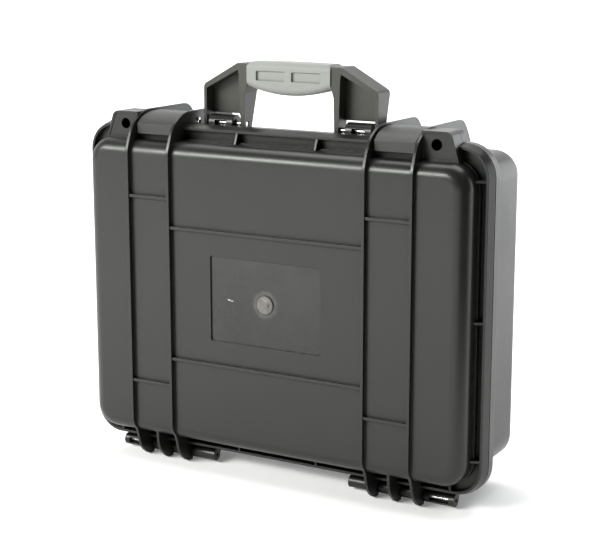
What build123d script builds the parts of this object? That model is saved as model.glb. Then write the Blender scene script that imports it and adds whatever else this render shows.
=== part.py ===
from build123d import *
from math import atan2, degrees
import os

os.makedirs("parts", exist_ok=True)

# Hard carrying case for a quadcopter, standing on its hinge side.
# +X runs along the handle, the lid faces -Y and +Z is up. Lengths are in millimetres.

# ---------------------------------------------------------------- driving dimensions
centre_z = 195.0                # height of the shell's centre above the floor
face_y = -66.5                  # outside of the lid's panel
parting_y = -31.0               # plane where lid and base meet
back_y = 71.5                   # outside of the base's back panel
parting_gap = 0.2               # each shell stays this far off the parting plane

wall = 3.5                      # moulded wall thickness
shell_half_w = 225.0
shell_half_h = 162.8
shell_drop = 1.2                # the shells' middle lies this far below the panel's
shell_top_z = centre_z - shell_drop + shell_half_h
shell_corner = 26.0
lid_draft = 1.2                 # degrees, the lid narrows towards its panel
lid_edge_round = 15.0
base_edge_round = 16.0
base_draft = 0.4                # degrees, the tub narrows towards its back

rim_half_w = 238.3              # outside of the flange
rim_half_h = 177.8
rim_corner = 33.0
rim_width = 2.6                 # the rim's thickness at its front edge
rim_setback = 2.8               # the rim's outside leans in by this towards its front edge
rim_front_y = -42.0             # front edge of the lid's flange
groove_floor_y = -35.0          # bottom of the channel behind the rim
ledge_front_y = -41.0
ledge_step_w = 1.6
ledge_step_h = 1.2
shadow_gap_width = 1.1          # groove along the parting line
shadow_gap_depth = 1.3
base_rim_depth = 10.4
seal_outer_half_w = 231.0
seal_outer_half_h = 170.0
seal_corner = 30.0
gusset_t = 2.6

rib_height = 5.0
rib_t = 3.0
fin_outer_x = 167.7             # guard fins outside each latch
fin_inner_x = 115.9             # guard fins inside each latch
fin_middle_x = (fin_outer_x + fin_inner_x) / 2
fin_top_z = centre_z + 191.0
main_rib_z = 71.5               # heights above and below the centre
short_rib_z = 102.0

recess_w = 132.5
recess_h = 91.5
recess_depth = 1.8
nub_r = 10.0
nub_height = 1.5

catch_front_y = -48.0           # the claw closes over this face of the lid

tab_hole_x = 183.7
tab_hole_z = centre_z + 176.3
tab_hole_r = 5.5
tab_outer_x = 199.0             # at the top of the tab, which spreads towards the shell
tab_spread = 9.0
tab_round = 8.0
tab_border = 2.4
tab_top_z = centre_z + 189.5
tab_front_y = -50.0
tab_back_y = parting_y + base_rim_depth

hinge_y = parting_y
hinge_z = centre_z - 186.0
hinge_eye_r = 6.5
hinge_pin_r = 2.0
hinge_stub_inner_x = 83.5
hinge_stub_outer_x = 204.0
knuckle_gap = 0.7
pin_slot_x = 187.0
pin_slot_width = 22.0
pin_slot_height = 6.0
running_gap = 0.05              # radial clearance of a pin in its bore

latch_y = -12.5                 # latch pivot
latch_z = centre_z + 181.5
latch_hub_r = 7.5
latch_pin_r = 2.0
latch_width = 44.8
claw_reach = 38.7               # the claw's inner face is an arc about the pivot

handle_y = -10.5                # handle pivot
handle_z = centre_z + 179.0
handle_front_y = -17.0
handle_back_y = 10.5
handle_half_w = 104.0
handle_pin_r = 2.9
handle_wall = 3.4
handle_cavity_depth = 15.0
lug_inner_x = 67.5
lug_outer_x = 97.0
lug_r = 9.0
grip_half_w = 49.7
grip_top_z = centre_z + 245.0

foam_gap = 1.0
pad_thickness = 12.0
pocket_depth = 72.0
seal_width = 4.0
seal_depth = 3.0

vent_y = 6.0
vent_r = 11.0

lid_plane = Plane(origin=(0, parting_y - parting_gap, centre_z), x_dir=(1, 0, 0), z_dir=(0, -1, 0))
base_plane = Plane(origin=(0, parting_y + parting_gap, centre_z), x_dir=(-1, 0, 0), z_dir=(0, 1, 0))
lid_body_plane = Plane(
    origin=(0, lid_plane.origin.Y, centre_z - shell_drop), x_dir=(1, 0, 0), z_dir=(0, -1, 0)
)
base_body_plane = Plane(
    origin=(0, base_plane.origin.Y, centre_z - shell_drop), x_dir=(-1, 0, 0), z_dir=(0, 1, 0)
)
lid_depth = lid_plane.origin.Y - face_y
base_depth = back_y - base_plane.origin.Y


rim_lean = degrees(atan2(rim_setback, lid_plane.origin.Y - rim_front_y - shadow_gap_width))
channel_half_w = rim_half_w - rim_setback - rim_width
channel_half_h = rim_half_h - rim_setback - rim_width
gusset_foot_y = rim_front_y - 4.5


def save(part, name):
    """Label a finished piece and write it under its node's name."""
    part.label = name
    export_step(part, "parts/" + name + ".step")


def both_sides(*distances):
    """Each distance and its mirror image about the middle plane."""
    return [side * d for d in distances for side in (-1, 1)]


def tab_corners(side, width, height, border=0.0):
    """A padlock tab's corners: straight beside the guard fin, leaning out towards the shell."""
    inner = -side * (width / 2 - border)
    outer = side * (width / 2 - border)
    top = height / 2 - border
    return [(inner, top), (outer, top), (outer + side * tab_spread, -top), (inner, -top)]


# ---------------------------------------------------------------- space inside each shell
with BuildPart() as lid_hollow:
    with BuildSketch(lid_body_plane):
        RectangleRounded(2 * (shell_half_w - wall), 2 * (shell_half_h - wall), shell_corner - wall)
    extrude(amount=lid_depth - wall, taper=lid_draft)
    fillet(lid_hollow.faces().sort_by(Axis.Y)[0].edges(), lid_edge_round - wall)

with BuildPart() as base_hollow:
    with BuildSketch(base_body_plane):
        RectangleRounded(2 * (shell_half_w - wall), 2 * (shell_half_h - wall), shell_corner - wall)
    extrude(amount=base_depth - wall, taper=base_draft)
    fillet(base_hollow.faces().sort_by(Axis.Y)[-1].edges(), base_edge_round - wall)

# ---------------------------------------------------------------- lid shell
with BuildPart() as lid_shell:
    with BuildSketch(lid_body_plane):
        RectangleRounded(2 * shell_half_w, 2 * shell_half_h, shell_corner)
    extrude(amount=lid_depth, taper=lid_draft)
    fillet(lid_shell.faces().sort_by(Axis.Y)[0].edges(), lid_edge_round)
    # flange, leaning in towards its front, with a channel between its thin rim and a small ledge
    flange_depth = lid_plane.origin.Y - rim_front_y
    with BuildSketch(lid_plane):
        RectangleRounded(
            2 * (rim_half_w - shadow_gap_depth), 2 * (rim_half_h - shadow_gap_depth),
            rim_corner - shadow_gap_depth,
        )
    extrude(amount=shadow_gap_width + 1)
    with BuildSketch(lid_plane.offset(shadow_gap_width)):
        RectangleRounded(2 * rim_half_w, 2 * rim_half_h, rim_corner)
    extrude(amount=flange_depth - shadow_gap_width, taper=rim_lean)
    with BuildSketch(lid_plane.offset(flange_depth)):
        RectangleRounded(2 * channel_half_w, 2 * channel_half_h, rim_corner - rim_setback - rim_width)
        with Locations((0, -shell_drop)):
            RectangleRounded(
                2 * (shell_half_w + ledge_step_w), 2 * (shell_half_h + ledge_step_h), shell_corner + 2,
                mode=Mode.SUBTRACT,
            )
    extrude(amount=rim_front_y - groove_floor_y, mode=Mode.SUBTRACT)
    with BuildSketch(lid_plane.offset(flange_depth)):
        RectangleRounded(2 * (channel_half_w - 1), 2 * (channel_half_h - 1), rim_corner - rim_setback)
        with Locations((0, -shell_drop)):
            RectangleRounded(
                2 * (shell_half_w - 0.5), 2 * (shell_half_h - 0.5), shell_corner - 0.5,
                mode=Mode.SUBTRACT,
            )
    extrude(amount=rim_front_y - ledge_front_y, mode=Mode.SUBTRACT)
    # gussets across the channel
    gusset_slope = [
        (rim_front_y + 0.6, channel_half_h + 1),
        (gusset_foot_y, shell_top_z - centre_z - 1),
        (groove_floor_y + 1, shell_top_z - centre_z - 1),
        (groove_floor_y + 1, channel_half_h + 1),
    ]
    for x in both_sides(47.5, 202.0):
        for side in (-1, 1):
            with BuildSketch(Plane.YZ.offset(x)):
                with BuildLine():
                    Polyline([(y, centre_z + side * z) for y, z in gusset_slope], close=True)
                make_face()
            extrude(amount=gusset_t / 2, both=True)
    for z in (-137.0, 4.0, 143.0):
        for side in (-1, 1):
            with BuildSketch(Plane.XY.offset(centre_z + z)):
                with BuildLine():
                    Polyline(
                        (side * (channel_half_w + 1), rim_front_y + 0.6),
                        (side * (shell_half_w - 2), gusset_foot_y),
                        (side * (shell_half_w - 2), groove_floor_y + 1),
                        (side * (channel_half_w + 1), groove_floor_y + 1),
                        close=True,
                    )
                make_face()
            extrude(amount=gusset_t / 2, both=True)
    # solid catch between the guard fins, under each latch
    for x in both_sides(fin_middle_x):
        with BuildSketch(Plane.YZ.offset(x)):
            with BuildLine():
                Polyline(
                    (lid_plane.origin.Y, shell_top_z - 1),
                    (catch_front_y, shell_top_z - 1),
                    (catch_front_y, centre_z + rim_half_h),
                    (lid_plane.origin.Y, centre_z + rim_half_h),
                    close=True,
                )
            make_face()
        extrude(amount=(fin_outer_x - fin_inner_x) / 2, both=True)
    # padlock tabs outside each latch
    for side in (-1, 1):
        tab_w = tab_outer_x - fin_outer_x
        tab_h = tab_top_z - shell_top_z + 2
        tab_plane = Plane(
            origin=(side * (fin_outer_x + tab_w / 2), lid_plane.origin.Y, tab_top_z - tab_h / 2),
            x_dir=(1, 0, 0), z_dir=(0, -1, 0),
        )
        with BuildSketch(tab_plane) as tab:
            corners = tab_corners(side, tab_w, tab_h)
            Polygon(*corners, align=None)
            fillet(tab.vertices().sort_by_distance(corners[1])[0], tab_round)
        extrude(amount=lid_plane.origin.Y - tab_front_y)
        with BuildSketch(tab_plane.offset(lid_plane.origin.Y - tab_front_y)) as tab_panel:
            corners = tab_corners(side, tab_w, tab_h, tab_border)
            Polygon(*corners, align=None)
            fillet(tab_panel.vertices().sort_by_distance(corners[1])[0], tab_round - tab_border)
        extrude(amount=-0.8, mode=Mode.SUBTRACT)
    # vertical ribs on the panel that run over the top as latch guards and under as foot fins
    rib_top = [
        (face_y - rib_height, 146), (face_y - 1.5, 160), (face_y + 8.5, 178.5),
        (face_y + 22, 187.5), (lid_plane.origin.Y, 190.8),
    ]
    rib_foot = [
        (face_y - rib_height, -146), (face_y + 2, -160), (face_y + 9, -180),
        (face_y + 19, -191.5), (face_y + 29, -195),
    ]
    for x in both_sides(fin_outer_x, fin_inner_x):
        with BuildSketch(Plane.YZ.offset(x)):
            with BuildLine():
                upper = Spline([(y, centre_z + z) for y, z in rib_top], tangents=[(0, 1), (1, 0.05)])
                lower = Spline([(y, centre_z + z) for y, z in rib_foot], tangents=[(0, -1), (1, 0)])
                Line(upper @ 0, lower @ 0)
                Polyline(
                    lower @ 1, (hinge_y - 2, 0), (lid_plane.origin.Y, hinge_z),
                    (lid_plane.origin.Y, centre_z), upper @ 1,
                )
            make_face()
        extrude(amount=rib_t / 2, both=True)
    # middle fin of each foot
    for x in both_sides(fin_middle_x):
        with BuildSketch(Plane.YZ.offset(x)):
            with BuildLine():
                lower = Spline(
                    [(face_y + 4, centre_z - 152)] + [(y, centre_z + z) for y, z in rib_foot[2:]],
                    tangents=[(0.3, -1), (1, 0)],
                )
                Polyline(
                    lower @ 1, (hinge_y - 2, 0), (lid_plane.origin.Y, hinge_z),
                    (lid_plane.origin.Y, centre_z - 150), lower @ 0,
                )
            make_face()
        extrude(amount=rib_t / 2, both=True)
    # hinge eyes at the end of the foot fins
    for x in both_sides(fin_outer_x, fin_middle_x, fin_inner_x):
        with BuildSketch(Plane.YZ.offset(x)):
            with Locations((hinge_y, hinge_z)):
                Circle(hinge_eye_r)
        extrude(amount=rib_t / 2, both=True)
    # horizontal ribs
    rib_band = Plane.XZ.offset(-face_y - 1)
    with BuildSketch(rib_band):
        with Locations((0, centre_z + main_rib_z), (0, centre_z - main_rib_z)):
            Rectangle(2 * fin_inner_x, rib_t)
        short_ribs = [(x, centre_z + z) for x in both_sides(fin_middle_x) for z in both_sides(short_rib_z)]
        with Locations(short_ribs):
            Rectangle(fin_outer_x - fin_inner_x, rib_t)
    extrude(amount=rib_height)
    # label recess with the moulding nub in its middle
    with BuildSketch(Plane.XZ.offset(-face_y)):
        with Locations((0, centre_z)):
            RectangleRounded(recess_w, recess_h, 2.5)
    extrude(amount=-recess_depth, mode=Mode.SUBTRACT)
    with BuildSketch(Plane.XZ.offset(-face_y - recess_depth - 0.5)):
        with Locations((0, centre_z)):
            Circle(nub_r)
    extrude(amount=nub_height + 0.5)
    fillet(
        lid_shell.edges().filter_by(GeomType.CIRCLE).filter_by(
            lambda e: abs(e.radius - nub_r) < 0.01
        ).sort_by(Axis.Y)[0],
        1.1,
    )
    add(lid_hollow.part, mode=Mode.SUBTRACT)
    # bores
    with BuildSketch(Plane.XZ.offset(-tab_front_y + 5)):
        with Locations([(x, tab_hole_z) for x in both_sides(tab_hole_x)]):
            Circle(tab_hole_r)
    extrude(amount=-40, mode=Mode.SUBTRACT)
    with BuildSketch(Plane.YZ):
        with Locations((hinge_y, hinge_z)):
            Circle(hinge_pin_r + running_gap)
    extrude(amount=rim_half_w, both=True, mode=Mode.SUBTRACT)
save(lid_shell.part, "lid_shell")

# ---------------------------------------------------------------- base shell
fin_start_y = parting_y + parting_gap
foot_start_y = parting_y + 11.5
fin_back = [
    (back_y - 34, 191), (back_y - 20, 185), (back_y - 10, 172), (back_y - 4, 158),
]
with BuildPart() as base_shell:
    with BuildSketch(base_body_plane):
        RectangleRounded(2 * shell_half_w, 2 * shell_half_h, shell_corner)
    extrude(amount=base_depth, taper=base_draft)
    fillet(base_shell.faces().sort_by(Axis.Y)[-1].edges(), base_edge_round)
    with BuildSketch(base_plane):
        RectangleRounded(2 * rim_half_w, 2 * rim_half_h, rim_corner)
    extrude(amount=base_rim_depth)
    # guard fins beside the latches
    for x in both_sides(fin_outer_x, fin_inner_x):
        with BuildSketch(Plane.YZ.offset(x)):
            with BuildLine():
                rear = Spline(
                    [(y, centre_z + z) for y, z in fin_back], tangents=[(1, 0), (0.2, -1)]
                )
                Polyline(
                    rear @ 0, (fin_start_y, fin_top_z), (fin_start_y, centre_z + 150),
                    (back_y - 20, centre_z + 150), rear @ 1,
                )
            make_face()
        extrude(amount=rib_t / 2, both=True)
    # foot fins
    for x in both_sides(fin_outer_x, fin_middle_x, fin_inner_x):
        with BuildSketch(Plane.YZ.offset(x)):
            with BuildLine():
                rear = Spline(
                    (back_y - 30, 0), (back_y - 18, 5), (back_y - 9, 19), (back_y - 4, 37),
                    tangents=[(1, 0), (0.2, 1)],
                )
                Polyline(
                    rear @ 0, (foot_start_y + 5, 0), (foot_start_y, 5), (foot_start_y, 45),
                    (back_y - 20, 45), rear @ 1,
                )
            make_face()
        extrude(amount=rib_t / 2, both=True)
    # hinge knuckles between and beside the lid's eyes
    fin_edge = rib_t / 2 + knuckle_gap
    knuckles = [
        (hinge_stub_inner_x, fin_inner_x - fin_edge),
        (fin_inner_x + fin_edge, fin_middle_x - fin_edge),
        (fin_middle_x + fin_edge, fin_outer_x - fin_edge),
        (fin_outer_x + fin_edge, hinge_stub_outer_x),
    ]
    for start, end in knuckles:
        for side in (-1, 1):
            with BuildSketch(Plane.YZ.offset(side * (start + end) / 2)):
                with Locations((hinge_y, hinge_z)):
                    Circle(hinge_eye_r)
                with BuildLine():
                    Polyline(
                        (hinge_y + parting_gap, hinge_z), (hinge_y + hinge_eye_r, hinge_z),
                        (tab_back_y, centre_z - rim_half_h + 2), (fin_start_y, centre_z - rim_half_h + 2),
                        close=True,
                    )
                make_face()
            extrude(amount=(end - start) / 2, both=True)
    # slot in the outer knuckle that shows the pin
    with BuildSketch(Plane.XZ.offset(-hinge_y + hinge_eye_r + 1)):
        with Locations([(x, hinge_z) for x in both_sides(pin_slot_x)]):
            Rectangle(pin_slot_width, pin_slot_height)
    extrude(amount=-hinge_eye_r - 1, mode=Mode.SUBTRACT)
    # padlock tabs
    for side in (-1, 1):
        tab_plane = Plane(
            origin=(side * (fin_outer_x + tab_w / 2), fin_start_y, tab_top_z - tab_h / 2),
            x_dir=(-1, 0, 0), z_dir=(0, 1, 0),
        )
        with BuildSketch(tab_plane) as tab:
            corners = tab_corners(-side, tab_w, tab_h)
            Polygon(*corners, align=None)
            fillet(tab.vertices().sort_by_distance(corners[1])[0], tab_round)
        extrude(amount=tab_back_y - fin_start_y)
    # handle lugs with a window that shows the pin
    for side in (-1, 1):
        middle = side * (lug_inner_x + lug_outer_x) / 2
        with BuildSketch(Plane.YZ.offset(middle)):
            with Locations((handle_y, handle_z)):
                Circle(lug_r)
            with Locations((handle_y, (handle_z + shell_top_z) / 2 - 1)):
                Rectangle(2 * lug_r, handle_z - shell_top_z + 2)
        extrude(amount=(lug_outer_x - lug_inner_x) / 2, both=True)
        with BuildSketch(Plane.XZ.offset(-handle_y + lug_r + 1)):
            with Locations((middle, handle_z - 1)):
                Rectangle(14.5, 8.5)
        extrude(amount=-(lug_r + 4), mode=Mode.SUBTRACT)
    # shallow panel in the back
    with BuildSketch(Plane.XZ.offset(-back_y)):
        with Locations((0, centre_z)):
            RectangleRounded(300, 200, 8)
    extrude(amount=1.2, mode=Mode.SUBTRACT)
    add(base_hollow.part, mode=Mode.SUBTRACT)
    # seal groove in the flange face
    with BuildSketch(base_plane):
        RectangleRounded(2 * seal_outer_half_w, 2 * seal_outer_half_h, seal_corner)
        RectangleRounded(
            2 * (seal_outer_half_w - seal_width), 2 * (seal_outer_half_h - seal_width),
            seal_corner - seal_width, mode=Mode.SUBTRACT,
        )
    extrude(amount=seal_depth, mode=Mode.SUBTRACT)
    # bores
    with BuildSketch(Plane.XZ.offset(-tab_front_y)):
        with Locations([(x, tab_hole_z) for x in both_sides(tab_hole_x)]):
            Circle(tab_hole_r)
    extrude(amount=-40, mode=Mode.SUBTRACT)
    with BuildSketch(Plane.YZ):
        with Locations((hinge_y, hinge_z)):
            Circle(hinge_pin_r + running_gap)
        with Locations((latch_y, latch_z)):
            Circle(latch_pin_r + running_gap)
        with Locations((handle_y, handle_z)):
            Circle(handle_pin_r + running_gap)
    extrude(amount=rim_half_w, both=True, mode=Mode.SUBTRACT)
    with BuildSketch(Plane.XY.offset(shell_top_z + 5)):
        with Locations((0, vent_y)):
            Circle(6.0)
    extrude(amount=-15, mode=Mode.SUBTRACT)
save(base_shell.part, "base_shell")

# ---------------------------------------------------------------- rim seal
seal_clear = 0.1
seal_inner_half_w = seal_outer_half_w - seal_width + seal_clear
seal_inner_half_h = seal_outer_half_h - seal_width + seal_clear
with BuildPart() as rim_seal:
    with BuildSketch(base_plane.offset(seal_clear)):
        RectangleRounded(
            2 * (seal_outer_half_w - seal_clear), 2 * (seal_outer_half_h - seal_clear),
            seal_corner - seal_clear,
        )
        RectangleRounded(
            2 * seal_inner_half_w, 2 * seal_inner_half_h, seal_corner - seal_width + seal_clear,
            mode=Mode.SUBTRACT,
        )
    extrude(amount=seal_depth - seal_clear)
save(rim_seal.part, "rim_seal")

# ---------------------------------------------------------------- foam
foam_half_w = shell_half_w - wall - foam_gap - 1.5
foam_half_h = shell_half_h - wall - foam_gap - 1.5
foam_corner = 18.0
foam_z = centre_z - shell_drop
pad_inset = 7.0                 # clear of the base's taper and rounded back edge
lid_foam_inset = 9.0            # clear of the lid's draft and rounded front edge
pad_back_y = back_y - wall - 1.3
foam_back_y = pad_back_y - pad_thickness - 0.1
foam_front_y = parting_y + parting_gap

with BuildPart() as base_pad:
    with BuildSketch(Plane.XZ.offset(-pad_back_y)):
        with Locations((0, foam_z)):
            RectangleRounded(2 * (foam_half_w - pad_inset), 2 * (foam_half_h - pad_inset), foam_corner - 2)
    extrude(amount=pad_thickness)
save(base_pad.part, "base_pad")

drone_x = -72.0
arm_reach = 104.0
arm_slot_width = 34.0
well_r = 31.0
controller_x = 140.0
controller_z = centre_z + 62.0
battery_z = centre_z - 88.0
with BuildPart() as base_foam:
    with BuildSketch(Plane.XZ.offset(-foam_back_y)):
        with Locations((0, foam_z)):
            RectangleRounded(2 * foam_half_w, 2 * foam_half_h, foam_corner)
    extrude(amount=foam_back_y - foam_front_y)
    with BuildSketch(Plane.XZ.offset(-foam_front_y)):
        with Locations((drone_x, centre_z)):
            RectangleRounded(104, 176, 22)
        reaches = both_sides(arm_reach)
        with Locations(*[(drone_x + x, centre_z + z) for x in reaches for z in reaches]):
            Circle(well_r)
        for slope in (-45, 45):
            with Locations(Location((drone_x, centre_z), slope)):
                Rectangle(2 * arm_reach * 2 ** 0.5, arm_slot_width)
        with Locations((controller_x, controller_z)):
            RectangleRounded(118, 150, 14)
        with Locations((107, battery_z), (172, battery_z)):
            RectangleRounded(48, 100, 8)
    extrude(amount=-pocket_depth, mode=Mode.SUBTRACT)
save(base_foam.part, "base_foam")

lid_foam_front_y = face_y + wall + 1.0
with BuildPart() as lid_foam:
    with BuildSketch(Plane.XZ.offset(-lid_plane.origin.Y + 0.3)):
        with Locations((0, foam_z)):
            RectangleRounded(
                2 * (foam_half_w - lid_foam_inset), 2 * (foam_half_h - lid_foam_inset), foam_corner
            )
    extrude(amount=lid_plane.origin.Y - 0.3 - lid_foam_front_y)
save(lid_foam.part, "lid_foam")

# ---------------------------------------------------------------- latches
claw_foot_z = centre_z + 167.2
under_z = centre_z + 178.6
tip_y = face_y + 11
tip_z = centre_z + 177.5
for side, name in ((-1, "left"), (1, "right")):
    centre_x = side * fin_middle_x
    with BuildPart() as lever:
        with BuildSketch(Plane.YZ.offset(centre_x)):
            with BuildLine():
                claw_top_y = latch_y - (claw_reach ** 2 - (latch_z - under_z) ** 2) ** 0.5
                claw_low_y = latch_y - (claw_reach ** 2 - (latch_z - claw_foot_z) ** 2) ** 0.5
                RadiusArc((claw_top_y, under_z), (claw_low_y, claw_foot_z), claw_reach)
                Polyline((claw_low_y, claw_foot_z), (tip_y, claw_foot_z), (tip_y, tip_z))
                Spline(
                    (tip_y, tip_z), (tip_y + 9, tip_z + 6.7), (tip_y + 22, tip_z + 10.7),
                    (latch_y, latch_z + latch_hub_r),
                    tangents=[(1, 0.9), (1, 0)],
                )
                hub_low_y = latch_y - (latch_hub_r ** 2 - (latch_z - under_z) ** 2) ** 0.5
                ThreePointArc(
                    (latch_y, latch_z + latch_hub_r), (latch_y + latch_hub_r, latch_z),
                    (latch_y, latch_z - latch_hub_r),
                )
                RadiusArc((latch_y, latch_z - latch_hub_r), (hub_low_y, under_z), latch_hub_r)
                Line((hub_low_y, under_z), (claw_top_y, under_z))
            make_face()
        extrude(amount=latch_width / 2, both=True)
        with BuildSketch(Plane.YZ.offset(centre_x)):
            with Locations((latch_y, latch_z)):
                Circle(latch_pin_r + running_gap)
        extrude(amount=latch_width, both=True, mode=Mode.SUBTRACT)
    save(lever.part, "latch_lever_" + name)
    with BuildPart() as latch_pin:
        with BuildSketch(Plane.YZ.offset(centre_x)):
            with Locations((latch_y, latch_z)):
                Circle(latch_pin_r)
        extrude(amount=(fin_outer_x - fin_inner_x) / 2 + 3, both=True)
        chamfer(latch_pin.edges().filter_by(GeomType.CIRCLE), 0.4)
    save(latch_pin.part, "latch_pin_" + name)

# ---------------------------------------------------------------- hinge pins
for side, name in ((-1, "left"), (1, "right")):
    with BuildPart() as hinge_pin:
        with BuildSketch(Plane.YZ.offset(side * (hinge_stub_inner_x + hinge_stub_outer_x) / 2)):
            with Locations((hinge_y, hinge_z)):
                Circle(hinge_pin_r)
        extrude(amount=(hinge_stub_outer_x - hinge_stub_inner_x) / 2 - 1.5, both=True)
        chamfer(hinge_pin.edges().filter_by(GeomType.CIRCLE), 0.4)
    save(hinge_pin.part, "hinge_pin_" + name)

# ---------------------------------------------------------------- handle
arm_inner_x = 54.0
arm_foot_z = centre_z + 170
arm_shoulder_z = centre_z + 219.5
arm_top_z = centre_z + 243
collar_x = grip_half_w + 0.1
core_y = handle_front_y + 14
core_z = centre_z + 232
core_width = 15.0
core_height = 13.0
with BuildPart() as handle_frame:
    for side in (-1, 1):
        with BuildSketch(Plane.XZ.offset(-handle_front_y)):
            with BuildLine():
                Polyline(
                    (side * arm_inner_x, arm_foot_z), (side * handle_half_w, arm_foot_z),
                    (side * handle_half_w, arm_shoulder_z), (side * 62, arm_top_z),
                    (side * collar_x, arm_top_z), (side * collar_x, centre_z + 222),
                    (side * 53, centre_z + 212), close=True,
                )
            make_face()
        extrude(amount=-(handle_back_y - handle_front_y))
    # the arms are slimmer front to back near the pivot
    with BuildSketch(Plane.YZ):
        with BuildLine():
            Polyline(
                (handle_front_y, arm_foot_z + 4), (handle_front_y + 4, arm_foot_z),
                (-2.5, arm_foot_z), (-1.5, arm_foot_z + 6), (7.5, centre_z + 211),
                (handle_back_y, centre_z + 222), (handle_back_y, arm_top_z),
                (handle_front_y, arm_top_z), close=True,
            )
        make_face()
    extrude(amount=handle_half_w + 1, both=True, mode=Mode.INTERSECT)
    fillet(
        handle_frame.edges().filter_by(Axis.Y).filter_by(
            lambda e: abs(abs(e.center().X) - handle_half_w) < 0.1 and e.center().Z > centre_z + 200
        ),
        6,
    )
    # hollow of each arm, open to the front, and its fork over the lug
    fork_inner_x = arm_inner_x + 4.5
    fork_outer_x = handle_half_w - handle_wall
    for side in (-1, 1):
        with BuildSketch(Plane.XZ.offset(-handle_front_y)):
            with BuildLine():
                Polyline(
                    (side * fork_inner_x, arm_foot_z - 5), (side * fork_outer_x, arm_foot_z - 5),
                    (side * fork_outer_x, arm_shoulder_z - 4), (side * 61.5, arm_top_z - 7),
                    (side * 60.5, arm_top_z - 12), close=True,
                )
            make_face()
        extrude(amount=-handle_cavity_depth, mode=Mode.SUBTRACT)
        with BuildSketch(Plane.XZ.offset(-handle_front_y)):
            with Locations((side * (fork_inner_x + fork_outer_x) / 2, handle_z + lug_r + 0.6)):
                Rectangle(fork_outer_x - fork_inner_x, 30, align=(Align.CENTER, Align.MAX))
        extrude(amount=-40, mode=Mode.SUBTRACT)
    # core bar inside the grip
    with BuildSketch(Plane.YZ):
        with Locations((core_y, core_z)):
            RectangleRounded(core_width, core_height, 3)
    extrude(amount=60, both=True)
    with BuildSketch(Plane.YZ):
        with Locations((handle_y, handle_z)):
            Circle(handle_pin_r + running_gap)
    extrude(amount=handle_half_w + 1, both=True, mode=Mode.SUBTRACT)
save(handle_frame.part, "handle_frame")

grip_end_low_z = centre_z + 219.5
grip_end_high_z = centre_z + 241.5
grip_belly_z = centre_z + 211.3
grip_crown_x = grip_half_w - 3.6
grip_front_y = handle_front_y - 1.5
grip_depth = 29.5
grip_edge_round = 6.5
grip_panel_depth = 2.4
with BuildPart() as handle_grip:
    with BuildSketch(Plane.XZ.offset(-grip_front_y)):
        with BuildLine():
            ThreePointArc((-grip_half_w, grip_end_low_z), (0, grip_belly_z), (grip_half_w, grip_end_low_z))
            Polyline(
                (grip_half_w, grip_end_low_z), (grip_half_w, grip_end_high_z), (grip_crown_x, grip_top_z)
            )
            ThreePointArc((grip_crown_x, grip_top_z), (0, grip_top_z + 0.6), (-grip_crown_x, grip_top_z))
            Polyline(
                (-grip_crown_x, grip_top_z), (-grip_half_w, grip_end_high_z), (-grip_half_w, grip_end_low_z)
            )
        make_face()
    extrude(amount=-grip_depth)
    long_edges = handle_grip.edges().filter_by(
        lambda e: e.bounding_box().size.X > 60 and e.center().Y < handle_front_y + 20
    )
    fillet(long_edges, grip_edge_round)
    rear_edges = handle_grip.edges().filter_by(
        lambda e: e.bounding_box().size.X > 60 and e.center().Y > handle_back_y
    )
    fillet(rear_edges, grip_edge_round)
    with BuildSketch(Plane.XZ.offset(-grip_front_y)):
        with Locations((-21.2, centre_z + 231), (21.2, centre_z + 231)):
            RectangleRounded(34, 10, 1.2)
    extrude(amount=-grip_panel_depth, mode=Mode.SUBTRACT)
    with BuildSketch(Plane.YZ):
        with Locations((core_y, core_z)):
            RectangleRounded(core_width + 0.1, core_height + 0.1, 3.05)
    extrude(amount=60, both=True, mode=Mode.SUBTRACT)
save(handle_grip.part, "handle_grip")

for side, name in ((-1, "left"), (1, "right")):
    with BuildPart() as handle_pin:
        with BuildSketch(Plane.YZ.offset(side * (arm_inner_x + 0.3 + handle_half_w) / 2)):
            with Locations((handle_y, handle_z)):
                Circle(handle_pin_r)
        extrude(amount=(handle_half_w - arm_inner_x) / 2 - 0.45, both=True)
        chamfer(handle_pin.edges().filter_by(GeomType.CIRCLE), 0.4)
    save(handle_pin.part, "handle_pin_" + name)

# ---------------------------------------------------------------- pressure vent
vent_z = shell_top_z
with BuildPart() as vent_body:
    with BuildSketch(Plane.XY.offset(vent_z + 1.2)):
        with Locations((0, vent_y)):
            Circle(vent_r)
    extrude(amount=2.4)
    with BuildSketch(Plane.XY.offset(vent_z - 6)):
        with Locations((0, vent_y)):
            Circle(5.8)
    extrude(amount=8)
    with BuildSketch(Plane.XY.offset(vent_z + 5)):
        with Locations((0, vent_y)):
            Circle(3.05)
    extrude(amount=-15, mode=Mode.SUBTRACT)
save(vent_body.part, "vent_body")

with BuildPart() as vent_seal:
    with BuildSketch(Plane.XY.offset(vent_z + 0.05)):
        with Locations((0, vent_y)):
            Circle(vent_r - 1)
            Circle(6.2, mode=Mode.SUBTRACT)
    extrude(amount=1.1)
save(vent_seal.part, "vent_seal")

with BuildPart() as vent_knob:
    with BuildSketch(Plane.XY.offset(vent_z + 3.9)):
        with Locations((0, vent_y)):
            Circle(vent_r - 1.5)
    extrude(amount=7)
    with BuildSketch(Plane.XY.offset(vent_z - 6)):
        with Locations((0, vent_y)):
            Circle(3.0)
    extrude(amount=10)
    grips = 12
    with BuildSketch(Plane.XY.offset(vent_z + 4.9)):
        with Locations((0, vent_y)):
            with PolarLocations(vent_r - 1.0, grips):
                Circle(1.1)
    extrude(amount=7, mode=Mode.SUBTRACT)
save(vent_knob.part, "vent_knob")
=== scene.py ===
import math

import bmesh
import bpy
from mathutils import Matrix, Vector, noise


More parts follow.
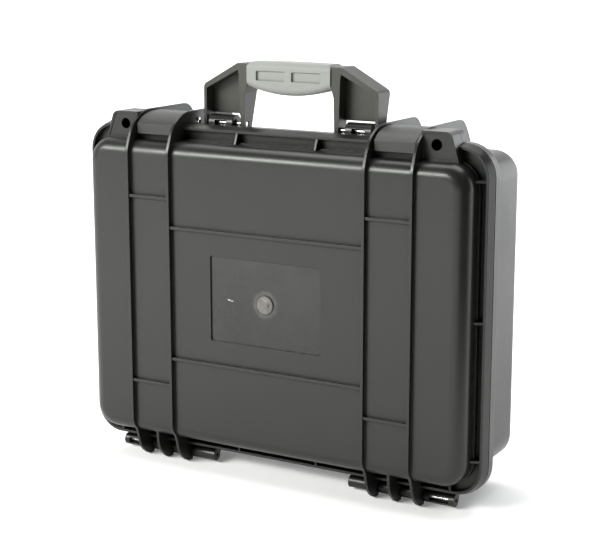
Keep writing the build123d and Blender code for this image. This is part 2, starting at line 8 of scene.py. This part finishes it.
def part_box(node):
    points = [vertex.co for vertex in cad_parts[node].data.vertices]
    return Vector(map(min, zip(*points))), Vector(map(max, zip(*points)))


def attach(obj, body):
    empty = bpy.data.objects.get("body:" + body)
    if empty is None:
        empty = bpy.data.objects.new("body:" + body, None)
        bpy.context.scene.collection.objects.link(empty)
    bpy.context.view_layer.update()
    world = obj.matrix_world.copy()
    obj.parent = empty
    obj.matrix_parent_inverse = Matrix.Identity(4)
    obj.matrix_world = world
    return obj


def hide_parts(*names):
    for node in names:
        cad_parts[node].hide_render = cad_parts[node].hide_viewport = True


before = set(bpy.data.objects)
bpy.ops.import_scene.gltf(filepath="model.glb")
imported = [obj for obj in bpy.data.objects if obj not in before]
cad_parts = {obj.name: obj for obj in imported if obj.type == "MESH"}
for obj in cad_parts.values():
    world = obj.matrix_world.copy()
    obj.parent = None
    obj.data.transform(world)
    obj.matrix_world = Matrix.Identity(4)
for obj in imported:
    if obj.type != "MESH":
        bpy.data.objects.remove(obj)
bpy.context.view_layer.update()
scene = bpy.context.scene
MM = 0.001

# ------------------------------------------------------------------ places, in metres
RIB_HEIGHT = 5 * MM
PANEL_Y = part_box("lid_shell")[0].y + RIB_HEIGHT
PANEL_CENTRE = Vector((0, PANEL_Y, 195 * MM))
RECESS_HALF_W = 66.25 * MM
RECESS_HALF_H = 45.75 * MM
PADLOCK_X = 183.7 * MM
PADLOCK_Z = 371.3 * MM
NUB_RADIUS = 10 * MM
FOAM_CORNER = 18 * MM
SEAL_CORNER = 29 * MM
CAMERA_AZIMUTH = math.radians(29.95)
CAMERA_ELEVATION = math.radians(11.92)


# ------------------------------------------------------------------ camera
def add_camera():
    """The photograph's view: from the right, a little above, through a long lens."""
    azimuth, elevation = CAMERA_AZIMUTH, CAMERA_ELEVATION
    distance, shift_right, shift_up = 1.581, 0.0367, 0.0392
    back = Vector((
        math.sin(azimuth) * math.cos(elevation),
        -math.cos(azimuth) * math.cos(elevation),
        math.sin(elevation),
    ))
    right = Vector((math.cos(azimuth), math.sin(azimuth), 0))
    up = back.cross(right)
    data = bpy.data.cameras.new("camera")
    data.sensor_width = 36
    data.lens = 92.0
    camera = bpy.data.objects.new("camera", data)
    camera.location = PANEL_CENTRE + back * distance + right * shift_right + up * shift_up
    camera.rotation_euler = (math.pi / 2 - elevation, 0, azimuth)
    scene.collection.objects.link(camera)
    scene.camera = camera


add_camera()


# ------------------------------------------------------------------ material helpers
class Graph:
    """A material's node tree, with short calls for the nodes used here."""

    def __init__(self, name):
        self.material = bpy.data.materials.new(name)
        self.material.use_nodes = True
        self.nodes = self.material.node_tree.nodes
        self.links = self.material.node_tree.links
        self.shader = self.nodes["Principled BSDF"]
        self.place = self.nodes.new("ShaderNodeTexCoord").outputs["Object"]

    def link(self, source, target):
        self.links.new(source, target)

    def math(self, operation, a, b=0.0):
        node = self.nodes.new("ShaderNodeMath")
        node.operation = operation
        for socket, value in zip(node.inputs, (a, b)):
            if isinstance(value, bpy.types.NodeSocket):
                self.link(value, socket)
            else:
                socket.default_value = value
        return node.outputs[0]

    def noise(self, scale, detail=2.0, rough=0.5, stretch=(1, 1, 1)):
        vector = self.place
        if stretch != (1, 1, 1):
            mapping = self.nodes.new("ShaderNodeMapping")
            mapping.inputs["Scale"].default_value = stretch
            self.link(vector, mapping.inputs["Vector"])
            vector = mapping.outputs[0]
        node = self.nodes.new("ShaderNodeTexNoise")
        node.inputs["Scale"].default_value = scale
        node.inputs["Detail"].default_value = detail
        node.inputs["Roughness"].default_value = rough
        self.link(vector, node.inputs["Vector"])
        return node.outputs["Fac"]

    def cells(self, scale):
        node = self.nodes.new("ShaderNodeTexVoronoi")
        node.inputs["Scale"].default_value = scale
        self.link(self.place, node.inputs["Vector"])
        return node.outputs["Distance"]

    def remap(self, value, low, high, to_low, to_high, smooth=False):
        node = self.nodes.new("ShaderNodeMapRange")
        node.interpolation_type = "SMOOTHSTEP" if smooth else "LINEAR"
        self.link(value, node.inputs["Value"])
        limits = {"From Min": low, "From Max": high, "To Min": to_low, "To Max": to_high}
        for name, number in limits.items():
            node.inputs[name].default_value = number
        return node.outputs["Result"]

    def mix_colour(self, factor, a, b):
        node = self.nodes.new("ShaderNodeMix")
        node.data_type = "RGBA"
        self.link(factor, node.inputs["Factor"])
        for socket, value in ((node.inputs["A"], a), (node.inputs["B"], b)):
            if isinstance(value, bpy.types.NodeSocket):
                self.link(value, socket)
            else:
                socket.default_value = (*value, 1)
        return node.outputs["Result"]

    def axes(self):
        node = self.nodes.new("ShaderNodeSeparateXYZ")
        self.link(self.place, node.inputs[0])
        return node.outputs

    def band(self, value, centre, half, soft):
        """1 within half of centre, falling to 0 over soft."""
        away = self.math("ABSOLUTE", self.math("SUBTRACT", value, centre))
        return self.remap(away, half - soft, half + soft, 1, 0, smooth=True)

    def distance(self, x, z, at_x, at_z):
        """How far a point is from an axis that runs front to back."""
        off_x = self.math("SUBTRACT", x, at_x)
        off_z = self.math("SUBTRACT", z, at_z)
        squares = [self.math("MULTIPLY", off, off) for off in (off_x, off_z)]
        return self.math("SQRT", self.math("ADD", *squares))

    def edges(self, radius):
        """0 on flat faces, up to 1 on outer and inner edges."""
        bevel = self.nodes.new("ShaderNodeBevel")
        bevel.samples = 4
        bevel.inputs["Radius"].default_value = radius
        geometry = self.nodes.new("ShaderNodeNewGeometry")
        dot = self.nodes.new("ShaderNodeVectorMath")
        dot.operation = "DOT_PRODUCT"
        self.link(bevel.outputs[0], dot.inputs[0])
        self.link(geometry.outputs["Normal"], dot.inputs[1])
        return self.remap(dot.outputs["Value"], 0.97, 0.75, 0, 1)

    def crevices(self, reach):
        """0 in the open, up to 0.6 deep in corners and gaps, where little light gets in."""
        occlusion = self.nodes.new("ShaderNodeAmbientOcclusion")
        occlusion.samples = 8
        occlusion.inputs["Distance"].default_value = reach
        return self.remap(occlusion.outputs["AO"], 0.3, 0.85, 0.6, 0, smooth=True)

    def bump(self, height, distance, strength=1.0, after=None):
        node = self.nodes.new("ShaderNodeBump")
        node.inputs["Strength"].default_value = strength
        node.inputs["Distance"].default_value = distance
        self.link(height, node.inputs["Height"])
        if after is not None:
            self.link(after, node.inputs["Normal"])
        return node.outputs[0]

    def rounded(self, radius):
        bevel = self.nodes.new("ShaderNodeBevel")
        bevel.samples = 4
        bevel.inputs["Radius"].default_value = radius
        return bevel.outputs[0]


def tinted(colour, amount):
    return tuple(channel * amount for channel in colour)


def moulded_plastic(name, colour, rough, grain=1.0, edge_radius=0.7, specular=0.36):
    """Spark-textured moulding: fine grain, faint flow mottling, polished and scuffed edges paled
    further as a painted highlight, and painted shade in corners and gaps.
    """
    g = Graph(name)
    fine = g.cells(1500)
    coarse = g.noise(420, 3, 0.6)
    mottling = g.noise(9, 4, 0.6)
    speckle = g.noise(1100, 1)
    mottled = g.remap(mottling, 0.35, 0.65, 0, 1)
    shade = g.mix_colour(mottled, tinted(colour, 0.90), tinted(colour, 1.10))
    shade = g.mix_colour(g.remap(speckle, 0.4, 0.6, 0, 0.5), shade, tinted(colour, 1.18))
    # edge wear, its paler colour pushed further as a painted highlight along the edges
    wear_and_highlight = g.math("MULTIPLY", g.edges(0.6 * MM), g.remap(g.noise(60, 3), 0.4, 0.7, 0.1, 0.55))
    shade = g.mix_colour(wear_and_highlight, shade, tuple(c * 2.2 + 0.03 for c in colour))
    scuffs = g.noise(26, 6, 0.75, stretch=(1, 1, 6))
    scuffed = g.remap(scuffs, 0.66, 0.74, 0, 0.35)
    shade = g.mix_colour(scuffed, shade, tinted(colour, 1.35))
    # painted shade: darker colour and less gloss in corners and gaps
    painted_crevice_shade = g.crevices(9 * MM)
    shade = g.mix_colour(painted_crevice_shade, shade, tinted(colour, 0.4))
    g.link(shade, g.shader.inputs["Base Color"])
    gloss = g.math("MULTIPLY", g.math("SUBTRACT", 1.0, painted_crevice_shade), specular)
    g.link(gloss, g.shader.inputs["Specular IOR Level"])
    dull = g.remap(mottling, 0.3, 0.7, rough - 0.05, rough + 0.06)
    dull = g.math("SUBTRACT", dull, g.math("MULTIPLY", wear_and_highlight, 0.16))
    g.link(dull, g.shader.inputs["Roughness"])
    g.shader.inputs["Specular Tint"].default_value = (0.985, 1.0, 0.965, 1)
    relief = g.math("ADD", g.math("MULTIPLY", fine, 0.4), g.math("MULTIPLY", coarse, 0.45))
    g.link(
        g.bump(relief, 0.10 * MM, 0.50 * grain, after=g.rounded(edge_radius * MM)),
        g.shader.inputs["Normal"],
    )
    return g


def darken_padlock_bores(g):
    """Shade inside the two padlock bores, so they read as deep holes."""
    x, _, z = g.axes()
    side = g.math("SUBTRACT", g.math("ABSOLUTE", x), PADLOCK_X)
    reach = g.distance(side, z, 0.0, PADLOCK_Z)
    inside = g.remap(reach, 5.6 * MM, 5.9 * MM, 1, 0)
    shade = g.shader.inputs["Base Color"].links[0].from_socket
    g.link(g.mix_colour(inside, shade, (0.002, 0.002, 0.002)), g.shader.inputs["Base Color"])
    gloss = g.shader.inputs["Specular IOR Level"].links[0].from_socket
    gloss = g.math("MULTIPLY", gloss, g.math("SUBTRACT", 1.0, inside))
    g.link(gloss, g.shader.inputs["Specular IOR Level"])


def shell_plastic(name, colour):
    """The shells' plastic."""
    g = moulded_plastic(name, colour, 0.32, edge_radius=0.8)
    darken_padlock_bores(g)
    return g.material


def lid_plastic(colour):
    """The shells' plastic, smoother in the label recess, blushed round the moulding gate."""
    g = moulded_plastic("lid_plastic", colour, 0.32, edge_radius=0.8)
    darken_padlock_bores(g)
    x, y, z = g.axes()
    across = g.band(x, 0.0, RECESS_HALF_W, 0.4 * MM)
    along = g.band(z, PANEL_CENTRE.z, RECESS_HALF_H, 0.4 * MM)
    deep = g.remap(y, PANEL_Y + 0.3 * MM, PANEL_Y + 0.9 * MM, 0, 1)
    inside = g.math("MULTIPLY", g.math("MULTIPLY", across, along), deep)
    dull = g.shader.inputs["Roughness"].links[0].from_socket
    dull = g.math("SUBTRACT", dull, g.math("MULTIPLY", inside, 0.13))
    g.link(dull, g.shader.inputs["Roughness"])
    # mottled floor, a blush round the nub and a short pale scratch beside it
    dz = g.math("SUBTRACT", z, PANEL_CENTRE.z)
    shade = g.shader.inputs["Base Color"].links[0].from_socket
    mottle = g.math("MULTIPLY", inside, g.remap(g.noise(24, 3, 0.6), 0.4, 0.62, 0, 0.55))
    shade = g.mix_colour(mottle, shade, tinted(colour, 1.7))
    reach = g.distance(x, dz, 0.0, 0.0)
    ragged = g.math("MULTIPLY", g.math("SUBTRACT", g.noise(120, 3), 0.5), 7 * MM)
    warped = g.math("ADD", reach, ragged)
    blush = g.remap(warped, 8 * MM, 17 * MM, 0.32, 0, smooth=True)
    shade = g.mix_colour(blush, shade, GATE_BLUSH)
    on_nub = g.remap(reach, NUB_RADIUS - 0.8 * MM, NUB_RADIUS, 1, 0)
    chalky = g.math("MULTIPLY", on_nub, g.remap(g.noise(330, 3, 0.65), 0.38, 0.62, 0.25, 0.85))
    shade = g.mix_colour(chalky, shade, tinted(GATE_BLUSH, 0.6))
    ring = g.math("MULTIPLY", g.band(reach, NUB_RADIUS + 0.8 * MM, 0.7 * MM, 0.8 * MM), 0.6)
    shade = g.mix_colour(ring, shade, tinted(colour, 0.45))
    tilted = g.math("ADD", dz, g.math("MULTIPLY", x, 0.18))
    scratch_length = g.band(x, -42.5 * MM, 3.2 * MM, 0.8 * MM)
    scratch_width = g.band(tilted, -7.6 * MM, 0.5 * MM, 0.4 * MM)
    scratch = g.math("MULTIPLY", scratch_length, scratch_width)
    speck = g.math("MULTIPLY", scratch, g.remap(g.noise(700, 2), 0.35, 0.55, 0.2, 0.9))
    g.link(g.mix_colour(speck, shade, (0.55, 0.55, 0.53)), g.shader.inputs["Base Color"])
    # the nub's top is a lumpy low dome with a small pip right of its middle
    dome = g.remap(reach, 0.0, NUB_RADIUS, 1, 0, smooth=True)
    pip = g.remap(g.distance(x, dz, 3.6 * MM, -0.6 * MM), 0.4 * MM, 1.8 * MM, 1, 0, smooth=True)
    lumps = g.math("MULTIPLY", g.math("MULTIPLY", on_nub, g.noise(260, 3, 0.6)), 0.35)
    height = g.math("ADD", g.math("MULTIPLY", dome, 0.8), g.math("MULTIPLY", pip, 0.45))
    height = g.math("ADD", height, lumps)
    normal = g.shader.inputs["Normal"].links[0].from_socket
    g.link(g.bump(height, 2.2 * MM, 1.0, after=normal), g.shader.inputs["Normal"])
    return g.material


def rubber(name, colour, rough):
    """Soft overmoulded rubber: dusty sheen, faint pores."""
    g = Graph(name)
    pores = g.noise(1300, 2)
    cloud = g.noise(22, 4, 0.6)
    clouded = g.remap(cloud, 0.3, 0.7, 0, 1)
    shade = g.mix_colour(clouded, tinted(colour, 0.95), tinted(colour, 1.05))
    grime = g.remap(g.noise(90, 3), 0.45, 0.75, 0.05, 0.3)
    grime = g.math("MULTIPLY", g.edges(1.2 * MM), grime)
    g.link(g.mix_colour(grime, shade, tinted(colour, 0.7)), g.shader.inputs["Base Color"])
    g.link(g.remap(cloud, 0.3, 0.7, rough - 0.06, rough + 0.06), g.shader.inputs["Roughness"])
    g.shader.inputs["Sheen Weight"].default_value = 0.15
    g.shader.inputs["Sheen Roughness"].default_value = 0.4
    g.link(g.bump(pores, 0.05 * MM, 0.4, after=g.rounded(0.9 * MM)), g.shader.inputs["Normal"])
    return g.material


def drawn_steel(name):
    """Bright drawn wire, with fine rings from turning."""
    g = Graph(name)
    streaks = g.noise(900, 2, 0.6, stretch=(5, 1, 1))
    g.shader.inputs["Metallic"].default_value = 1.0
    ringed = g.remap(streaks, 0.3, 0.7, 0, 1)
    shade = g.mix_colour(ringed, (0.55, 0.55, 0.54), (0.72, 0.72, 0.71))
    g.link(shade, g.shader.inputs["Base Color"])
    g.link(g.remap(streaks, 0.3, 0.7, 0.2, 0.36), g.shader.inputs["Roughness"])
    g.link(g.bump(streaks, 0.02 * MM, 0.5, after=g.rounded(0.3 * MM)), g.shader.inputs["Normal"])
    return g.material


def open_cell_foam(name, colour):
    """Polyurethane foam: open cells, a dry dull surface and paler cut faces."""
    g = Graph(name)
    cells = g.cells(950)
    big = g.cells(380)
    cloud = g.noise(14, 4, 0.6)
    celled = g.remap(cells, 0.05, 0.55, 0, 1)
    shade = g.mix_colour(celled, tinted(colour, 0.35), tinted(colour, 1.5))
    shade = g.mix_colour(g.remap(cloud, 0.35, 0.65, 0, 0.4), shade, tinted(colour, 1.25))
    g.link(shade, g.shader.inputs["Base Color"])
    g.link(g.remap(cells, 0, 0.6, 0.99, 0.86), g.shader.inputs["Roughness"])
    g.shader.inputs["Specular IOR Level"].default_value = 0.15
    g.shader.inputs["Sheen Weight"].default_value = 0.25
    g.shader.inputs["Sheen Roughness"].default_value = 0.7
    relief = g.math("ADD", g.math("MULTIPLY", cells, 0.7), g.math("MULTIPLY", big, 0.5))
    g.link(g.bump(relief, 0.5 * MM, 0.8), g.shader.inputs["Normal"])
    return g.material


GATE_BLUSH = (0.21, 0.20, 0.185)
CHARCOAL = (0.0102, 0.0106, 0.0096)
SATIN_BLACK = (0.020, 0.020, 0.0195)
lid_material = lid_plastic(CHARCOAL)
base_material = shell_plastic("base_plastic", CHARCOAL)
latch_material = moulded_plastic("latch_plastic", SATIN_BLACK, 0.42, grain=0.7).material
handle_material = moulded_plastic("handle_plastic", (0.028, 0.027, 0.023), 0.40, grain=0.8).material
vent_material = moulded_plastic("vent_plastic", (0.016, 0.016, 0.017), 0.45, grain=0.6).material
grip_material = rubber("grip_rubber", (0.19, 0.20, 0.184), 0.62)
seal_material = rubber("seal_rubber", (0.025, 0.025, 0.026), 0.6)
steel_material = drawn_steel("pin_steel")
foam_material = open_cell_foam("foam_cells", (0.050, 0.051, 0.056))

CAD_MATERIALS = {
    "lid_shell": lid_material,
    "base_shell": base_material,
    "handle_frame": handle_material,
    "handle_grip": grip_material,
    "vent_body": vent_material,
    "vent_knob": vent_material,
    "vent_seal": seal_material,
}
for side in ("left", "right"):
    CAD_MATERIALS["latch_lever_" + side] = latch_material
    for pin in ("latch_pin_", "hinge_pin_", "handle_pin_"):
        CAD_MATERIALS[pin + side] = steel_material
for node, material in CAD_MATERIALS.items():
    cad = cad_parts[node]
    if not cad.material_slots:
        cad.data.materials.append(material)
    for slot in cad.material_slots:
        slot.material = material


# ------------------------------------------------------------------ soft pieces
def finished(name, mesh, material, body, node):
    """A new piece that stands for a CAD node and moves with its body."""
    piece = bpy.data.objects.new(name, mesh)
    scene.collection.objects.link(piece)
    piece.data.materials.clear()
    piece.data.materials.append(material)
    for polygon in piece.data.polygons:
        polygon.use_smooth = True
    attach(piece, body)
    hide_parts(node)
    return piece


SHARP_ANGLE = 0.6               # radians between the faces beside a cut edge


def cut_foam(node, name, round_over, waviness):
    """A CAD foam block with its cut edges gone soft and its faces no longer quite flat."""
    soft = bmesh.new()
    soft.from_mesh(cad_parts[node].data)
    bmesh.ops.remove_doubles(soft, verts=soft.verts, dist=0.01 * MM)
    bmesh.ops.dissolve_limit(
        soft, angle_limit=math.radians(1.0), verts=soft.verts, edges=soft.edges, delimit={"NORMAL"}
    )
    sharp = [
        edge for edge in soft.edges
        if len(edge.link_faces) == 2 and edge.calc_face_angle() > SHARP_ANGLE
    ]
    bmesh.ops.bevel(
        soft, geom=sharp, offset=round_over, segments=2, profile=0.6, affect="EDGES",
        clamp_overlap=True,
    )
    bmesh.ops.triangulate(soft, faces=soft.faces)
    for size in (60 * MM, 30 * MM, 15 * MM):
        long_edges = [edge for edge in soft.edges if edge.calc_length() > size]
        bmesh.ops.subdivide_edges(soft, edges=long_edges, cuts=1)
        bmesh.ops.triangulate(soft, faces=soft.faces)
    soft.normal_update()
    for vertex in soft.verts:
        wave = noise.noise(vertex.co * 38) + 0.5 * noise.noise(vertex.co * 110)
        vertex.co -= vertex.normal * waviness * (1.0 + 0.6 * wave)
    bmesh.ops.recalc_face_normals(soft, faces=soft.faces)
    mesh = bpy.data.meshes.new(name)
    soft.to_mesh(mesh)
    soft.free()
    return mesh


def convoluted_foam():
    """The lid's egg-crate foam: a flat back and rows of rounded peaks towards the base."""
    low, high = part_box("lid_foam")
    pitch = 30 * MM
    cell = 2.5 * MM
    corner = FOAM_CORNER
    columns = round((high.x - low.x) / cell)
    rows = round((high.z - low.z) / cell)
    valley, peak = low.y + 9 * MM, high.y - 0.6 * MM
    grid = bmesh.new()

    def corner_pull(x, z):
        """Moves points near a corner of the slab onto its rounded outline."""
        cx = min(max(x, low.x + corner), high.x - corner)
        cz = min(max(z, low.z + corner), high.z - corner)
        away = Vector((x - cx, z - cz))
        if away.x and away.y:
            square = max(abs(away.x), abs(away.y))
            away = away.normalized() * square
        return cx + away.x, cz + away.y

    def height(x, z):
        turns_x, turns_z = x / pitch, (z - PANEL_CENTRE.z) / pitch
        wave = math.cos(2 * math.pi * turns_x) * math.cos(2 * math.pi * turns_z)
        rounded = 0.5 + 0.5 * math.sin(wave * math.pi / 2)
        unevenness = noise.noise(Vector((x, 0, z)) * 70) * 0.7 * MM
        inset = min(x - low.x, high.x - x, z - low.z, high.z - z)
        edge = min(1.0, max(0.0, inset / (6 * MM)))
        top = valley + (peak - valley) * rounded + unevenness
        return min(peak, low.y + (top - low.y) * (0.82 + 0.18 * math.sin(edge * math.pi / 2)))

    front, back = [], []
    for row in range(rows + 1):
        z = low.z + (high.z - low.z) * row / rows
        for column in range(columns + 1):
            x = low.x + (high.x - low.x) * column / columns
            px, pz = corner_pull(x, z)
            front.append(grid.verts.new((px, height(px, pz), pz)))
            back.append(grid.verts.new((px, low.y + 0.3 * MM, pz)))
    stride = columns + 1
    for row in range(rows):
        for column in range(columns):
            i = row * stride + column
            quad = (i, i + 1, i + 1 + stride, i + stride)
            grid.faces.new([front[k] for k in reversed(quad)])
            grid.faces.new([back[k] for k in quad])
    rim = list(range(columns))
    rim += [columns + r * stride for r in range(rows)]
    rim += [rows * stride + c for c in range(columns, 0, -1)]
    rim += [r * stride for r in range(rows, 0, -1)]
    for a, b in zip(rim, rim[1:] + rim[:1]):
        grid.faces.new((front[a], front[b], back[b], back[a]))
    bmesh.ops.recalc_face_normals(grid, faces=grid.faces)
    mesh = bpy.data.meshes.new("convoluted_foam")
    grid.to_mesh(mesh)
    grid.free()
    return mesh


lid_foam = finished(
    "lid_foam_convoluted", convoluted_foam(), foam_material, "lid", "lid_foam",
)

base_foam = finished(
    "base_foam_cut", cut_foam("base_foam", "base_foam_cut", 1.6 * MM, 0.4 * MM),
    foam_material, "base", "base_foam",
)

base_pad = finished(
    "base_pad_sheet", cut_foam("base_pad", "base_pad_sheet", 2.0 * MM, 0.4 * MM),
    foam_material, "base", "base_pad",
)


def seal_bead():
    """The rim seal: a round bead of rubber lying in the flange's groove."""
    low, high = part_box("rim_seal")
    radius = (high.y - low.y) / 2
    half_w = (high.x - low.x) / 2 - radius
    half_h = (high.z - low.z) / 2 - radius
    corner = SEAL_CORNER
    path = []
    turn_steps, round_steps = 14, 12
    for quarter, (sx, sz) in enumerate(((1, 1), (-1, 1), (-1, -1), (1, -1))):
        for step in range(turn_steps + 1):
            angle = math.pi / 2 * (quarter + step / turn_steps)
            path.append((
                sx * (half_w - corner) + corner * math.cos(angle),
                sz * (half_h - corner) + corner * math.sin(angle),
                math.cos(angle), math.sin(angle),
            ))
    bead = bmesh.new()
    rings = []
    for x, z, out_x, out_z in path:
        ring = []
        for step in range(round_steps):
            angle = 2 * math.pi * step / round_steps
            swell = radius * math.cos(angle)
            ring.append(bead.verts.new((
                x + out_x * swell,
                (low.y + high.y) / 2 + radius * math.sin(angle),
                PANEL_CENTRE.z + z + out_z * swell,
            )))
        rings.append(ring)
    for ring, following in zip(rings, rings[1:] + rings[:1]):
        for step in range(round_steps):
            after = (step + 1) % round_steps
            bead.faces.new((ring[step], following[step], following[after], ring[after]))
    bmesh.ops.recalc_face_normals(bead, faces=bead.faces)
    mesh = bpy.data.meshes.new("seal_bead")
    bead.to_mesh(mesh)
    bead.free()
    return mesh


finished("rim_seal_bead", seal_bead(), seal_material, "base", "rim_seal")


# ------------------------------------------------------------------ studio
def stage_piece(name, mesh, material):
    """Puts a piece of the studio into the scene, apart from the case."""
    piece = bpy.data.objects.new(name, mesh)
    scene.collection.objects.link(piece)
    mesh.materials.append(material)
    for polygon in mesh.polygons:
        polygon.use_smooth = True
    return piece


def paper_glow_and_painted_shadow(material, half_w, half_d):
    """The paper's emission, which paints the contact shadow: least under the case's footprint,
    little round it, more far away.
    """
    nodes, links = material.node_tree.nodes, material.node_tree.links

    def math_node(operation, first, second):
        node = nodes.new("ShaderNodeMath")
        node.operation = operation
        for socket, value in zip(node.inputs, (first, second)):
            if isinstance(value, (int, float)):
                socket.default_value = value
            else:
                links.new(value, socket)
        return node.outputs[0]

    place = nodes.new("ShaderNodeTexCoord")
    axes = nodes.new("ShaderNodeSeparateXYZ")
    links.new(place.outputs["Object"], axes.inputs[0])
    squares = []
    for axis, half in ((0, half_w), (1, half_d)):
        beyond = math_node("SUBTRACT", math_node("ABSOLUTE", axes.outputs[axis], 0), half)
        beyond = math_node("MAXIMUM", beyond, 0)
        squares.append(math_node("MULTIPLY", beyond, beyond))
    away = math_node("SQRT", math_node("ADD", *squares), 0)
    ramps = []
    for near, far, low, high in ((0.0, 0.10, 0.3, 1.0), (0.1, 1.8, 0.4, 0.8)):
        ramp = nodes.new("ShaderNodeMapRange")
        links.new(away, ramp.inputs["Value"])
        limits = {"From Min": near, "From Max": far, "To Min": low, "To Max": high}
        for name, number in limits.items():
            ramp.inputs[name].default_value = number
        ramps.append(ramp.outputs[0])
    return math_node("MULTIPLY", *ramps)


def add_sweep():
    """A white paper sweep: floor in front, curving up into a wall behind the case."""
    turn, turn_y, half_w, reach, top = 1.6, 3.2, 9.0, 9.0, 6.0
    profile = [(-reach, 0.0), (turn_y, 0.0)]
    for step in range(1, 17):
        angle = math.pi / 2 * step / 16
        profile.append((turn_y + turn * math.sin(angle), turn * (1 - math.cos(angle))))
    profile.append((turn_y + turn, top))
    cosine, sine = math.cos(CAMERA_AZIMUTH), math.sin(CAMERA_AZIMUTH)
    verts, faces = [], []
    for y, z in profile:
        for x in (-half_w, half_w):
            verts.append((x * cosine - y * sine, x * sine + y * cosine, z))
    for i in range(len(profile) - 1):
        faces.append((2 * i, 2 * i + 1, 2 * i + 3, 2 * i + 2))
    mesh = bpy.data.meshes.new("sweep")
    mesh.from_pydata(verts, [], faces)
    material = bpy.data.materials.new("sweep_paper")
    material.use_nodes = True
    shader = material.node_tree.nodes["Principled BSDF"]
    shader.inputs["Base Color"].default_value = (0.93, 0.93, 0.93, 1)
    shader.inputs["Roughness"].default_value = 0.8
    shader.inputs["Specular IOR Level"].default_value = 0.1
    shader.inputs["Emission Color"].default_value = (1, 1, 1, 1)
    # the paper glows, dimmed round the case as a painted contact shadow
    glow = paper_glow_and_painted_shadow(material, 0.24, 0.055)
    material.node_tree.links.new(glow, shader.inputs["Emission Strength"])
    stage_piece("sweep", mesh, material)


def add_flag():
    """A black card that the case's right-hand roundings reflect, and no camera sees."""
    verts, steps, reach, top = [], 8, 0.8, 1.3
    for step in range(steps + 1):
        turn = math.radians(43 + 52 * step / steps)
        x, y = reach * math.sin(turn), -reach * math.cos(turn)
        verts += [(x, y, 0.002), (x, y, top)]
    faces = [(2 * i, 2 * i + 2, 2 * i + 3, 2 * i + 1) for i in range(steps)]
    mesh = bpy.data.meshes.new("flag")
    mesh.from_pydata(verts, [], faces)
    material = bpy.data.materials.new("flag_card")
    material.use_nodes = True
    shader = material.node_tree.nodes["Principled BSDF"]
    shader.inputs["Base Color"].default_value = (0.02, 0.02, 0.02, 1)
    shader.inputs["Roughness"].default_value = 0.9
    flag = stage_piece("flag", mesh, material)
    flag.visible_camera = False


def add_light(name, azimuth, elevation, distance, size, radiance, colour=(1, 1, 1)):
    """A soft panel of even brightness, facing the case. Azimuth 0 is in front, 90 right."""
    turn, rise = math.radians(azimuth), math.radians(elevation)
    level = math.cos(rise)
    away = Vector((math.sin(turn) * level, -math.cos(turn) * level, math.sin(rise)))
    data = bpy.data.lights.new(name, "AREA")
    data.shape = "RECTANGLE"
    data.size, data.size_y = size
    data.energy = radiance * math.pi * size[0] * size[1]
    data.color = colour
    light = bpy.data.objects.new(name, data)
    light.location = PANEL_CENTRE + away * distance
    light.rotation_euler = away.to_track_quat("Z", "Y").to_euler()
    scene.collection.objects.link(light)


def add_studio():
    world = bpy.data.worlds.new("studio")
    scene.world = world
    world.use_nodes = True
    background = world.node_tree.nodes["Background"]
    background.inputs["Color"].default_value = (1.0, 1.0, 1.0, 1)
    background.inputs["Strength"].default_value = 0.18
    add_light("overhead_softbox", 190, 78, 2.2, (2.6, 1.4), 4.8)
    add_light("right_rear_softbox", 140, 10, 2.6, (2.2, 1.6), 2.6, (0.95, 0.97, 1.0))
    add_light("left_front_strip", -33, 25, 2.4, (1.7, 0.5), 34.0, (0.99, 1.0, 0.965))
    scene.view_settings.view_transform = "Standard"


add_sweep()
add_flag()
add_studio()
